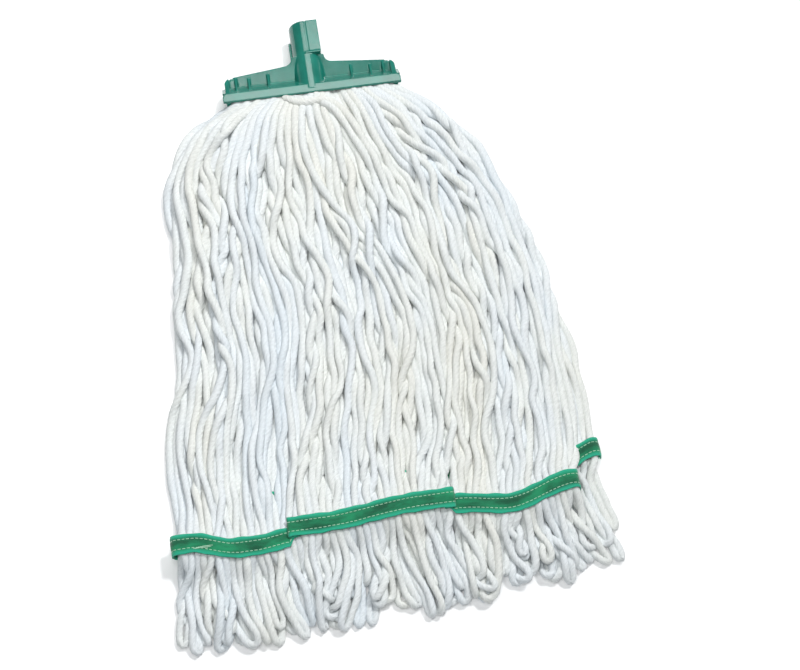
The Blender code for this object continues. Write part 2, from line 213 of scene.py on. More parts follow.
def yarn_radius(s):
    """The yarn is fullest where it leaves the mouth, and more tightly twisted near its loops."""
    return YARN_R * (1.03 - 0.16 * ease(s, 60, 400))


def fringe_end(x):
    """How far from the mouth the loops reach."""
    return END_S - 4 - 8 * ease(x, -120, -10) - 7 * ease(x, 0, 130) - 22 * ease(x, 138, 178)


def waves(count, s, lengths, size):
    """A smooth wander for each of count strings along s."""
    total = np.zeros((count, len(s)))
    for length in lengths:
        phase = RANDOM.uniform(0, 2 * np.pi, (count, 1))
        pitch = length * RANDOM.uniform(0.8, 1.25, (count, 1))
        total += np.sin(2 * np.pi * s / pitch + phase) * RANDOM.uniform(0.3, 1, (count, 1))
    return total * size / math.sqrt(len(lengths))


def gather(x, place, s):
    """Draws neighbouring strings together into bunches that come and go along the curtain."""
    edges = np.cumsum(RANDOM.integers(4, 9, len(x)))
    bunch = np.searchsorted(edges, place, "right")
    for number in np.unique(bunch):
        members = bunch == number
        pitch, phase = RANDOM.uniform(110, 230), RANDOM.uniform(0, 2 * np.pi)
        pull = 0.34 + 0.34 * np.sin(2 * np.pi * s / pitch + phase)
        x[members] += (x[members].mean(0) - x[members]) * pull * ease(s, 20, 90)
    return x


def arch_over(x, y, z, s, strand, start_x, rise):
    """Lets one string leave the mouth sideways, over its neighbours, before it turns down."""
    x[strand] += (start_x - x[strand]) * np.interp(s, ARCH_S, ARCH_TURN)
    y[strand] += np.interp(s, ARCH_S, ARCH_HELD)
    z[strand] += rise * np.interp(s, ARCH_S, ARCH_RISE)


def pressed(side, s):
    """How far the tail band has the strings in its grip."""
    return ease(s, BAND_S[side] - 45, BAND_S[side] - 8)


def freedom(side, s):
    """How freely a string may wander: not at all at the mouth and at the band, and fully between."""
    return ease(s, 4, 70) * (1 - pressed(side, s))


def strand_x(side, s, mouth_share, band_share, place):
    """How the strings spread, wander and bunch on their way from the mouth to the band."""
    count = len(place)
    move = ease(s, 20, BAND_S[side] - 30)
    share = mouth_share[:, None] + (band_share - mouth_share)[:, None] * move
    x = across(side, share, s)
    groups = waves(count // GROUP + 2, s, (230, 130), 8.5)
    member = (place + RANDOM.integers(0, 3, count)) // GROUP
    wander = groups[member] + waves(count, s, (190, 110, 64), 4.4)
    x = x + wander * freedom(side, s)
    bunched = 1 - ease(s, BAND_S[side] - 40, BAND_S[side] - 10)
    return x + (gather(x.copy(), place, s) - x) * bunched


def strand_z(side, s, row, band_z):
    """The strings' heights: packed in rows in the mouth, loosely piled past it, pressed at the band."""
    count = len(row)
    row_share = (row + 0.5) / MOUTH_ROWS
    low, high = MOUTH_Z[side]
    mouth_z = low + row_share * (high - low)
    low, high = PILE_Z[side]
    layer = RANDOM.permutation(count) / count
    pile_z = low + (0.6 * layer + 0.4 * row_share) * (high - low)
    near_z = low + row_share * (high - low)
    up = ease(s, 0, RANDOM.uniform(14, 30, (count, 1)))
    mix = ease(s, 30, 110)
    z = mouth_z[:, None] * (1 - up) + (near_z[:, None] * (1 - mix) + pile_z[:, None] * mix) * up
    z = z + waves(count, s, (120, 60), 2.2) * freedom(side, s)
    top_row = row[:, None] == MOUTH_ROWS - 1
    z = z + RANDOM.uniform(-1, 5.5, (count, 1)) * top_row * bump(s, 9, 8)
    return z + (band_z[:, None] - z) * pressed(side, s)


def strand_paths(side, loops):
    """Planned paths of a curtain's strings from the channel to the band, as two legs for each loop."""
    count = 2 * loops
    order = np.argsort(np.arange(count) + RANDOM.normal(0, STRAY, count))
    place = np.empty(count, int)
    place[order] = np.arange(count)
    column, row = np.divmod(np.arange(count), MOUTH_ROWS)
    mouth_share = (column + 0.5 + 0.25 * (row % 2 * 2 - 1)) / (count / MOUTH_ROWS) * 2 - 1
    band_share = (place + 0.5) / count * 2 - 1
    band_x = across(side, band_share, BAND_S[side])
    band_z = band_height(side, band_x) + (place % BAND_ROWS - 0.5) * ROW_RISE
    if side == "upper":
        band_z = band_z + (tape_rise(band_x) - 0.4) * pleat_step(band_x)

    s = np.arange(START_S, BAND_S[side] + 0.1, 3.0)
    x = strand_x(side, s, mouth_share, band_share, place)
    z = strand_z(side, s, row, band_z)
    y = MOUTH_Y - s + band_shift(side, x) * pressed(side, s)
    if side == "upper":
        arch_over(x, y, z, s, ARCHES[0], -24, 11)
        arch_over(x, y, z, s, ARCHES[1], -17, 8)
    return np.stack([x, y, z], 2)[order.reshape(loops, 2)]


def tail_centre(side, middle, share, reach, lean, bow):
    """The middle line of one loop past the band, as it sways and sinks to the floor."""
    t = np.linspace(0, 1, 40)[1:]
    out = t * reach
    s = MOUTH_Y - middle[1] + out
    x = middle[0] + across(side, share, s) - across(side, share, BAND_S[side])
    x = x + (lean * t**2 + bow * np.sin(np.pi * t * 1.4)) * ease(out, 6, 30)
    rest_z = TAIL_Z[side] + RANDOM.uniform(0, 4)
    z = middle[2] + (rest_z - middle[2]) * ease(out, 7, 0.75 * reach)
    return np.stack([x, middle[1] - out, z], 1), out


def tail_offset(out, half, reach, end_half, turn):
    """From the middle line to one leg of the loop, which twists about it and closes at its end."""
    grown = 1 - ease(out, 6, 26)
    size = end_half + (np.hypot(*half[[0, 2]]) - end_half) * grown
    left = np.clip((reach - out) / end_half, 0, 1)
    size = size * np.sqrt(1 - (1 - left) ** 2)
    angle = math.atan2(half[2], half[0]) + turn * ease(out, 8, 0.85 * reach)
    flat = np.stack([np.cos(angle), np.zeros_like(angle), 0.8 * np.sin(angle)], 1)
    return flat * size[:, None]


def tail_paths(side, legs):
    """Carries each pair of legs past the band, twists them together and closes them in a loop."""
    loops = len(legs)
    at_band = legs[:, :, -1]
    middle = at_band.mean(1)
    half = (at_band[:, 1] - at_band[:, 0]) / 2
    share = (middle[:, 0] - at_band[:, :, 0].min()) / np.ptp(at_band[:, :, 0]) * 2 - 1
    reach = fringe_end(across(side, share, END_S)) - (MOUTH_Y - middle[:, 1])
    reach = reach + RANDOM.normal(-6, 9, loops).clip(-28, 5)
    is_open = RANDOM.uniform(0, 1, loops) < OPEN_LOOPS
    end_half = np.where(is_open, RANDOM.uniform(5, 8, loops), RANDOM.uniform(2.5, 3.2, loops))
    turn = np.where(is_open, 0, RANDOM.normal(0.7, 0.8, loops)) * np.pi
    lean = 2 + RANDOM.normal(0, 5, loops)
    lean = lean + np.convolve(RANDOM.normal(0, 20, loops + 6), np.ones(7) / 7, "valid")
    bow = RANDOM.normal(0, 4.0, loops)
    made = []
    for k in range(loops):
        centre, out = tail_centre(side, middle[k], share[k], reach[k], lean[k], bow[k])
        offset = tail_offset(out, half[k], reach[k], end_half[k], turn[k])
        made.append((centre - offset, centre + offset))
    return made


def even_steps(path, count):
    """The path as count points at equal distances along it."""
    along = np.concatenate([[0], np.cumsum(np.linalg.norm(np.diff(path, axis=0), axis=1))])
    want = np.linspace(0, along[-1], count)
    return np.stack([np.interp(want, along, path[:, k]) for k in range(3)], 1)


def plan_curtain(side):
    """Every looped string of a curtain as evenly spaced points, out from the mouth and back to it."""
    loops = LOOPS_IN_HANK[side] * len(HANKS[side])
    legs = strand_paths(side, loops)
    tails = tail_paths(side, legs)
    count = int(2 * (END_S - START_S) / POINT_GAP)
    made = []
    for (first, second), (first_tail, second_tail) in zip(legs, tails):
        path = np.concatenate([first, first_tail, second_tail[::-1], second[::-1]])
        made.append(even_steps(path, count))
    made = np.array(made)
    return made[np.argsort(made[:, count // 2, 0])]


SETTLE_STEPS = 170
KEPT_SPEED = 0.82  # the share of its speed that a point keeps from step to step
FALL = np.array([0, 0, -0.06])  # added to the speed in each step
HOMING = 0.006  # the share of its way back to the planned x that a point goes in each step
SEARCH_STEPS, SEARCH_AHEAD = 6, 1.2  # steps between searches for contacts, and how far ahead they look
SWEEPS = 3  # rounds of contact and stretch in each step
BEND_STIFFNESS = 0.22
APART_SHARE = 0.9  # one round removes at most this share of an overlap
FAR_ALONG = 3  # a string's own points can touch if they are more than this many apart
NEIGHBOUR_CELLS = (-1, 0, 1)


def close_pairs(points, reach):
    """Index pairs of the points nearer than reach, found through a grid of cells."""
    cell = np.floor(points / reach).astype(np.int64)
    cell -= cell.min(0) - 1
    size = cell.max(0) + 2
    key = (cell[:, 0] * size[1] + cell[:, 1]) * size[2] + cell[:, 2]
    order = np.argsort(key, kind="stable")
    ordered = key[order]
    first, second = [], []
    rows = [dx * size[1] + dy for dx in NEIGHBOUR_CELLS for dy in NEIGHBOUR_CELLS]
    steps = [row * size[2] + dz for row in rows for dz in NEIGHBOUR_CELLS]
    for step in steps:
        if step < 0:
            continue
        low = np.searchsorted(ordered, ordered + step, "left")
        high = np.searchsorted(ordered, ordered + step, "right")
        if step == 0:
            low = np.maximum(low, np.arange(len(ordered)) + 1)
        many = np.maximum(high - low, 0)
        a = np.repeat(np.arange(len(ordered)), many)
        start = np.repeat(np.cumsum(many) - many, many)
        b = np.arange(many.sum()) - start + np.repeat(low, many)
        first.append(order[a])
        second.append(order[b])
    first, second = np.concatenate(first), np.concatenate(second)
    near = np.linalg.norm(points[first] - points[second], axis=1) < reach
    return first[near], second[near]


def push_apart(flat, a, b, touch, movable):
    """Moves the points of each pair that is nearer than touch away from each other."""
    gap = flat[b] - flat[a]
    length = np.linalg.norm(gap, axis=1) + 1e-9
    inside = np.maximum(touch - length, 0)
    hit = inside > 0
    weight = movable[a[hit]] + movable[b[hit]]
    push = gap[hit] * (inside[hit] / length[hit] / weight * APART_SHARE)[:, None]
    hits = np.bincount(a[hit], minlength=len(flat)) + np.bincount(b[hit], minlength=len(flat))
    many = np.maximum(hits, 1) ** 0.5
    for k in range(3):
        change = np.bincount(b[hit], push[:, k], len(flat)) - np.bincount(a[hit], push[:, k], len(flat))
        flat[:, k] += change * movable / many


def settle(points, pinned, radius, lowest):
    """Lets the strings sink under gravity and push each other apart, without stretching."""
    strings, count = points.shape[:2]
    rest = {k: np.linalg.norm(points[:, k:] - points[:, :-k], axis=2) for k in (1, 2, 4)}
    home = points.copy()
    before = points.copy()
    movable = (~pinned)[..., None].astype(float)
    flat_movable = movable.reshape(-1)
    flat_radius = radius.reshape(-1)
    string_of = np.repeat(np.arange(strings), count)
    place_of = np.tile(np.arange(count), strings)

    def pull(k, parity, share, only_short=False):
        """Brings points that are k apart along a string back to their distance at rest."""
        a = np.arange(parity, count - k, 2 * k if k == 1 else k + 1)
        b = a + k
        gap = points[:, b] - points[:, a]
        length = np.linalg.norm(gap, axis=2, keepdims=True) + 1e-9
        error = (length - rest[k][:, a][..., None]) / length
        if only_short:
            error = np.minimum(error, 0)
        fix = gap * error * share / (movable[:, a] + movable[:, b] + 1e-9)
        points[:, a] += fix * movable[:, a]
        points[:, b] -= fix * movable[:, b]

    for step in range(SETTLE_STEPS):
        speed = (points - before) * KEPT_SPEED
        before = points.copy()
        points += (speed + FALL) * movable
        points[..., 0] += (home[..., 0] - points[..., 0]) * HOMING * movable[..., 0]
        flat = points.reshape(-1, 3)
        if step % SEARCH_STEPS == 0:
            a, b = close_pairs(flat, 2 * YARN_R + SEARCH_AHEAD)
            apart = (string_of[a] != string_of[b]) | (np.abs(place_of[a] - place_of[b]) > FAR_ALONG)
            busy = (flat_movable[a] + flat_movable[b]) > 0
            a, b = a[apart & busy], b[apart & busy]
            touch = flat_radius[a] + flat_radius[b]
        for sweep in range(SWEEPS):
            push_apart(flat, a, b, touch, flat_movable)
            points = flat.reshape(strings, count, 3)
            for parity in (0, 1):
                pull(1, parity, 1.0)
            pull(2, sweep, BEND_STIFFNESS, True)
            pull(4, sweep, BEND_STIFFNESS, True)
            points[..., 2] += np.maximum(lowest - points[..., 2], 0) * movable[..., 0]
            points[..., 0] = np.clip(points[..., 0], -SIDE_LIMIT, SIDE_LIMIT)
            flat = points.reshape(-1, 3)
    return points


def smooth(points, pinned, times):
    """Evens out the small kinks that contact leaves in the strings."""
    for _ in range(times):
        middle = (points[:, 2:] + points[:, :-2]) / 2
        step = (middle - points[:, 1:-1]) * 0.4
        points[:, 1:-1] += step * (~pinned[:, 1:-1])[..., None]
    return points


def simulate_strings():
    """The settled strings of both curtains, each as an array of points for every string."""
    plans = {side: plan_curtain(side) for side in SIDES}
    points = np.concatenate([plans[side] for side in SIDES])
    of_side = [side for side in SIDES for _ in plans[side]]
    s = MOUTH_Y - points[..., 1]
    band = np.array([BAND_S[side] for side in of_side])[:, None]
    shift = np.array([band_shift(side, row) for side, row in zip(of_side, points[..., 0])])
    pinned = (s < PINNED_S) | (np.abs(s - band + shift) < TAPE_HALF + 0.5)
    radius = TOUCH * yarn_radius(s) * (1 - 0.4 * (1 - ease(s, 0, 28)))
    lowest = 1.12 * yarn_radius(s) * (1 - (1 - MOUTH_SQUASH) * (1 - ease(s, 0, 15)))
    points = settle(points, pinned, radius, lowest)
    points = smooth(points, pinned, 2)
    return {"upper": points[: len(plans["upper"])], "lower": points[len(plans["upper"]) :]}


# --- Sweeping yarn along a path ---

PLIES = 4
PLY_DEPTH = 0.04  # of the grooves between plies, as a share of the radius
TWIST = 2 * np.pi / 19  # radians for each millimetre
RING_GAP = 2.4  # between the rings of a yarn's mesh
YARN_SIDES = 10


def curve_points(points, gap):
    """A smooth curve through the points, sampled at equal distances."""
    padded = np.concatenate([[2 * points[0] - points[1]], points, [2 * points[-1] - points[-2]]])
    t = np.linspace(0, 1, 4, endpoint=False)[None, :, None]
    a, b, c, d = (padded[k : k + len(points) - 1, None] for k in range(4))
    spline = 0.5 * (
        2 * b + (c - a) * t + (2 * a - 5 * b + 4 * c - d) * t**2 + (3 * b - a - 3 * c + d) * t**3
    )
    path = np.concatenate([spline.reshape(-1, 3), points[-1:]])
    length = np.linalg.norm(np.diff(path, axis=0), axis=1).sum()
    return even_steps(path, max(4, int(round(length / gap))))


def unit(vectors):
    """The same directions with length 1."""
    return vectors / np.linalg.norm(vectors, axis=-1, keepdims=True)


def frames(path):
    """Two normals at each point of a path, which don't spin about it."""
    tangent = unit(np.gradient(path, axis=0))
    normal = np.empty_like(path)
    normal[0] = unit(np.cross(tangent[0], (0, 0, 1)) + (0, 0, 1e-6))
    for k in range(1, len(path)):
        normal[k] = unit(normal[k - 1] - tangent[k] * (normal[k - 1] @ tangent[k]))
    return normal, np.cross(tangent, normal)


def yarn_rings(path, along, squash, size):
    """Rings of a plied yarn, and each point's place in the untwisted yarn."""
    normal, other = frames(path)
    around = np.arange(YARN_SIDES) / YARN_SIDES * 2 * np.pi
    local = around[None] - (along * TWIST)[:, None]
    r = size[:, None] * (1 + PLY_DEPTH * np.cos(PLIES * local))
    offset = normal[:, None] * (np.cos(around)[None] * r)[..., None]
    offset = offset + other[:, None] * (np.sin(around)[None] * r)[..., None]
    offset[..., 2] *= squash[:, None]
    yarn = np.stack([np.cos(local) * r, np.sin(local) * r, np.broadcast_to(along[:, None], r.shape)], 2)
    return path[:, None] + offset, yarn


def outward(rings):
    """True when rings, joined in their order, make a tube whose faces point out."""
    middle = rings.mean(1, keepdims=True)
    along = np.gradient(middle[:, 0], axis=0)[:, None]
    turn = np.cross(rings - middle, np.roll(rings, -1, axis=1) - middle)
    return (turn * along).sum() > 0


def tube_mesh(name, tubes, look, attribute="yarn"):
    """One piece made of closed tubes, each given as (ring points, their material coordinates, tone)."""
    points, places, tones, faces, corners, start = [], [], [], [], [], 0
    for rings, place, tone in tubes:
        if not outward(rings):
            rings, place = rings[:, ::-1], place[:, ::-1]
        many, sides = rings.shape[:2]
        index = start + np.arange(many * sides).reshape(many, sides)
        turned = np.roll(index, -1, axis=1)
        quads = np.stack([index[:-1], turned[:-1], turned[1:], index[1:]], 2).reshape(-1, 4)
        caps = np.array([start + many * sides, start + many * sides + 1])
        tip = np.stack([np.full(sides, caps[0]), turned[0], index[0]], 1)
        end = np.stack([np.full(sides, caps[1]), index[-1], turned[-1]], 1)
        points += [rings.reshape(-1, 3), rings[[0, -1]].mean(1)]
        places += [place.reshape(-1, 3), place[[0, -1]].mean(1)]
        tones.append(np.full(many * sides + 2, tone))
        faces += [quads.ravel(), tip.ravel(), end.ravel()]
        corners += [np.full(len(quads), 4), np.full(2 * sides, 3)]
        start += many * sides + 2
    mesh = bpy.data.meshes.new(name)
    points = np.concatenate(points) * MM
    faces, corners = np.concatenate(faces), np.concatenate(corners)
    mesh.vertices.add(len(points))
    mesh.vertices.foreach_set("co", points.ravel())
    mesh.loops.add(len(faces))
    mesh.loops.foreach_set("vertex_index", faces)
    mesh.polygons.add(len(corners))
    mesh.polygons.foreach_set("loop_start", np.cumsum(corners) - corners)
    mesh.polygons.foreach_set("use_smooth", np.ones(len(corners), bool))
    mesh.update(calc_edges=True)
    set_vectors(mesh, attribute, np.concatenate(places))
    mesh.attributes.new("tone", "FLOAT", "POINT").data.foreach_set("value", np.concatenate(tones))
    return add_piece(name, mesh, look)


def add_object(name, data):
    made = bpy.data.objects.new(name, data)
    bpy.context.scene.collection.objects.link(made)
    return made


def add_piece(name, mesh, look):
    """An object in the scene with the mesh, all of it in one material."""
    mesh.materials.clear()
    mesh.materials.append(look)
    return add_object(name, mesh)


def stand_for(piece, node, body=None):
    """The piece stands in for a CAD node, which is hidden, and rides on the body when one is given."""
    if body:
        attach(piece, body)
    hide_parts(node)


def mesh_from(name, work):
    mesh = bpy.data.meshes.new(name)
    work.to_mesh(mesh)
    work.free()
    return mesh


def set_vectors(mesh, name, values):
    mesh.attributes.new(name, "FLOAT_VECTOR", "POINT").data.foreach_set("vector", values.ravel())


# --- Materials ---


class Look:
    """A Principled material with helpers that keep its node code short."""

    def __init__(self, name, **values):
        self.material = bpy.data.materials.new(name)
        self.material.use_nodes = True
        self.tree = self.material.node_tree
        self.shader = self.tree.nodes["Principled BSDF"]
        for key, value in values.items():
            self.shader.inputs[key.replace("_", " ")].default_value = value

    def node(self, kind, **settings):
        made = self.tree.nodes.new(kind)
        for key, value in settings.items():
            if hasattr(made, key):
                setattr(made, key, value)
            else:
                made.inputs[key.replace("_", " ")].default_value = value
        return made

    def link(self, source, target):
        self.tree.links.new(source, target)
        return target

    def attribute(self, name, output="Vector"):
        return self.node("ShaderNodeAttribute", attribute_name=name).outputs[output]

    def place(self):
        """The point's own place on the object, in metres."""
        return self.node("ShaderNodeTexCoord").outputs["Object"]

    def parts_of(self, vector):
        made = self.node("ShaderNodeSeparateXYZ")
        self.link(vector, made.inputs[0])
        return made.outputs

    def scaled(self, vector, scale):
        made = self.node("ShaderNodeVectorMath", operation="MULTIPLY")
        self.link(vector, made.inputs[0])
        made.inputs[1].default_value = scale
        return made.outputs[0]

    def noise(self, vector, scale, detail, roughness):
        made = self.node("ShaderNodeTexNoise", Scale=scale, Detail=detail, Roughness=roughness)
        self.link(vector, made.inputs["Vector"])
        return made.outputs["Fac"]

    def times(self, a, b):
        return self.maths("MULTIPLY", a, b)

    def maths(self, operation, a, b=None, c=None):
        made = self.node("ShaderNodeMath", operation=operation)
        for slot, value in enumerate((a, b, c)):
            if value is None:
                continue
            if isinstance(value, (int, float)):
                made.inputs[slot].default_value = value
            else:
                self.link(value, made.inputs[slot])
        return made.outputs[0]

    def ramp(self, value, stops):
        made = self.node("ShaderNodeValToRGB")
        self.link(value, made.inputs[0])
        line = made.color_ramp.elements
        while len(line) < len(stops):
            line.new(0.5)
        for element, (place, colour) in zip(line, stops):
            element.position = place
            element.color = (*colour, 1)
        return made.outputs[0]

    def mix(self, kind, share, a, b):
        made = self.node("ShaderNodeMix", data_type="RGBA", blend_type=kind)
        for socket, value in ((made.inputs[0], share), (made.inputs[6], a), (made.inputs[7], b)):
            if isinstance(value, (int, float)):
                socket.default_value = value
            elif isinstance(value, tuple):
                socket.default_value = (*value, 1)
            else:
                self.link(value, socket)
        return made.outputs[2]

    def bump(self, height, strength, distance):
        made = self.node("ShaderNodeBump", Strength=strength, Distance=distance)
        self.link(height, made.inputs["Height"])
        previous = self.shader.inputs["Normal"].links
        if previous:
            self.link(previous[0].from_socket, made.inputs["Normal"])
        self.link(made.outputs[0], self.shader.inputs["Normal"])

    def colour(self, socket):
        self.link(socket, self.shader.inputs["Base Color"])

    def roughness(self, socket):
        self.link(socket, self.shader.inputs["Roughness"])


def cotton_look():
    """Soft plied cotton. Its "yarn" attribute holds each point's place in the untwisted yarn."""
    sheen = {"Sheen_Weight": 0.06, "Sheen_Roughness": 0.6}
    look = Look("cotton_yarn", Roughness=0.95, Specular_IOR_Level=0.2, **sheen)
    yarn, tone = look.attribute("yarn"), look.attribute("tone", "Fac")
    x, y, _ = look.parts_of(yarn)
    angle = look.times(look.maths("ARCTAN2", y, x), float(PLIES))
    ply = look.maths("MULTIPLY_ADD", look.maths("COSINE", angle), 0.5, 0.5)
    doubled = look.times(angle, 2.0)
    strand = look.maths("MULTIPLY_ADD", look.maths("COSINE", doubled), 0.5, 0.5)
    fibres = look.noise(look.scaled(yarn, (3.0, 3.0, 0.5)), 1.0, 4.0, 0.65)
    fluff = look.noise(look.scaled(yarn, (1.1, 1.1, 0.5)), 1.0, 2.0, 0.5)
    place = look.place()
    region = look.noise(look.scaled(place, (16.0, 7.0, 16.0)), 1.0, 3.0, 0.6)
    hue = look.maths("MULTIPLY_ADD", tone, 0.24, look.times(region, 0.78))
    base = look.ramp(
        hue,
        [
            (0.28, (0.76, 0.82, 0.865)),
            (0.44, (0.81, 0.845, 0.865)),
            (0.58, (0.83, 0.85, 0.83)),
            (0.76, (0.82, 0.82, 0.77)),
        ],
    )
    # Painted shade: the colour darkens to 0.88 in the grooves between plies and strands, where shade falls.
    height = look.maths("ADD", ply, look.times(strand, 0.35))
    grooves = look.ramp(height, [(0.0, (0.88,) * 3), (0.45, (1.0,) * 3)])
    # Painted shade: the colour darkens to about 0.84 where the fibre and fluff relief dips, as shade would.
    fibre_shade = look.maths("MULTIPLY_ADD", fluff, 0.6, look.times(fibres, 0.4))
    dark = look.ramp(fibre_shade, [(0.36, (0.84, 0.85, 0.84)), (0.58, (1.0, 1.0, 1.0))])
    look.colour(look.mix("MULTIPLY", 1.0, look.mix("MULTIPLY", 1.0, base, grooves), dark))
    look.bump(ply, 0.3, 0.0006)
    look.bump(strand, 0.2, 0.0003)
    look.bump(fibres, 0.5, 0.0005)
    look.bump(fluff, 0.6, 0.0009)
    return look.material


def plastic_look():
    """Moulded polypropylene: cloudy in colour and gloss, with a fine grain."""
    coat = {"Coat_Weight": 0.35, "Coat_Roughness": 0.2}
    look = Look("green_polypropylene", Roughness=0.18, Specular_IOR_Level=0.55, **coat)
    place = look.place()
    cloud = look.noise(place, 55.0, 3.0, 0.5)
    grain = look.noise(place, 2600.0, 2.0, 0.5)
    look.colour(look.ramp(cloud, [(0.3, (0.005, 0.145, 0.105)), (0.7, (0.011, 0.215, 0.16))]))
    look.roughness(look.ramp(cloud, [(0.3, (0.14,) * 3), (0.75, (0.24,) * 3)]))
    look.bump(grain, 0.12, 0.0002)
    look.bump(cloud, 0.1, 0.001)
    return look.material


def metal_look(name, colour, roughness, metallic):
    """Metal whose wear shows as paler, rougher patches."""
    look = Look(name, Metallic=metallic)
    place = look.place()
    wear = look.noise(place, 420.0, 4.0, 0.6)
    pale = tuple(min(1, c * 1.5 + 0.02) for c in colour)
    look.colour(look.ramp(wear, [(0.35, colour), (0.75, pale)]))
    look.roughness(look.ramp(wear, [(0.3, (roughness - 0.1,) * 3), (0.7, (roughness + 0.12,) * 3)]))
    look.bump(wear, 0.15, 0.0002)
    return look.material


END_PITCH, PICK_PITCH = 0.7, 1.0  # between threads that run along a tape, and that cross it


def tape_look(name, dark, light, edge):
    """Woven tape. Its "weave" attribute holds millimetres along and across the tape, from its middle."""
    look = Look(name, Roughness=0.75, Sheen_Weight=0.3, Specular_IOR_Level=0.3)
    weave = look.attribute("weave")
    along, side, _ = look.parts_of(weave)
    ends = look.maths("SINE", look.times(side, 2 * math.pi / END_PITCH))
    picks = look.maths("SINE", look.times(along, 2 * math.pi / PICK_PITCH))
    cloth = look.times(ends, picks)
    fuzz = look.noise(look.scaled(weave, (2.2, 3.4, 1.0)), 1.0, 3.0, 0.6)
    cloud = look.noise(look.scaled(weave, (0.035, 0.1, 1.0)), 1.0, 3.0, 0.6)
    shade = look.maths("ADD", look.times(fuzz, 0.3), look.times(cloud, 0.7))
    body = look.ramp(shade, [(0.4, dark), (0.6, light)])
    outwards = look.maths("DIVIDE", look.maths("ABSOLUTE", side), TAPE_HALF)
    border = look.ramp(outwards, [(0.5, (0.0,) * 3), (0.85, (1.0,) * 3)])
    look.colour(look.mix("MIX", look.parts_of(border)[0], body, edge))
    look.bump(look.maths("ADD", look.times(cloth, 0.5), fuzz), 0.6, 0.0003)
    return look.material


def thread_look():
    """Thread in pale greens that vary in patches along it."""
    look = Look("white_thread", Roughness=0.7)
    place = look.place()
    strand = look.noise(look.scaled(place, (900, 2400, 2400)), 1.0, 2.0, 0.5)
    look.colour(look.ramp(strand, [(0.3, (0.26, 0.56, 0.36)), (0.65, (0.55, 0.8, 0.62))]))
    look.bump(strand, 0.4, 0.0001)
    return look.material


COTTON = cotton_look()
PLASTIC = plastic_look()
PIN_STEEL = metal_look("blackened_pin", (0.03, 0.03, 0.032), 0.5, 0.7)
ZINC = metal_look("zinc_wire", (0.5, 0.51, 0.53), 0.36, 1.0)
TAPE = tape_look("green_woven_tape", (0.002, 0.085, 0.038), (0.009, 0.28, 0.12), (0.015, 0.4, 0.24))
WEBBING = tape_look("natural_webbing", (0.55, 0.5, 0.4), (0.74, 0.7, 0.6), (0.7, 0.66, 0.55))
THREAD = thread_look()


# --- Pieces: strings ---


def yarn_parts(side, path):
    """The two legs of one looped string up to the band, and the loop past it."""
    points = curve_points(path, RING_GAP)
    s = MOUTH_Y - points[:, 1] + band_shift(side, points[:, 0])
    past = np.flatnonzero(s > BAND_S[side])
    first, last = past[0], past[-1]
    along = np.arange(len(points)) * RING_GAP + RANDOM.uniform(0, 50000)
    squash = 1 - (1 - MOUTH_SQUASH) * (1 - ease(s, 0, 15)) - (1 - BAND_SQUASH) * bump(s, BAND_S[side], 14)
    swell = 1 + 0.06 * np.sin(along / 31) + 0.04 * np.sin(along / 7.3) + 0.04 * np.sin(along / 97)
    size = yarn_radius(s) * swell
    tone = RANDOM.uniform(0, 1)
    rings, yarn = yarn_rings(points, along, squash, size)
    cut = [slice(0, first + 1), slice(last, None), slice(first, last + 1)]
    legs = [(rings[c], yarn[c], tone) for c in cut[:2]]
    return legs, [(rings[cut[2]], yarn[cut[2]], tone)]


def blend_along(piece):
    """Bakes the piece's transform into its mesh."""
    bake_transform(piece)


def make_strings(side, strings):
    """One piece for each CAD hank, and one for each fringe."""
    groups = np.array_split(np.arange(len(strings)), len(HANKS[side]))
    for number, (hank, fringe, members) in enumerate(zip(HANKS[side], FRINGES[side], groups), 1):
        legs, tails = [], []
        for k in members:
            leg, tail = yarn_parts(side, strings[k])
            legs += leg
            tails += tail
        piece = tube_mesh(f"{side}_yarns_{number:02d}", legs, COTTON)
        blend_along(piece)
        stand_for(piece, hank)
        piece = tube_mesh(f"{side}_loops_{number:02d}", tails, COTTON)
        blend_along(piece)
        stand_for(piece, fringe)


# --- Pieces: tail bands ---

STITCH_V = 3.7  # the rows of stitches, from the tape's middle
COURSE_GAP = 4.0  # between the planned points of a tape's course
TAPE_GAP = 1.4  # between a tape's cross-sections
TAPE_V = np.array([-1, -0.95, -0.82, -0.65, -STITCH_V / TAPE_HALF, -0.34, -0.18, 0])
TAPE_V = np.concatenate([TAPE_V, -TAPE_V[-2::-1]]) * TAPE_HALF
STITCH_COLUMNS = (10, 4)  # where TAPE_V holds the rows of stitches
FOLD_X = np.array([2.5, 5.2, 6.7, 7.2, 6.4, 4.0, 1.2, -0.7, -1.3, -0.6, 1.6, 4.0])
FOLD_RISE = np.array([0, 0.04, 0.2, 0.6, 1.05, 1.22, 1.26, 1.45, 1.95, 2.38, 2.5, 2.5]) / 2.5 * FOLD_LIFT


def plain_course(side):
    """A tape's course as (x, rise, shift), from edge to edge, with no pleats."""
    left, right = half_width(side, BAND_S[side])
    x = np.arange(-left, right, COURSE_GAP)
    return np.stack([x, 0 * x, band_shift(side, x)], 1)


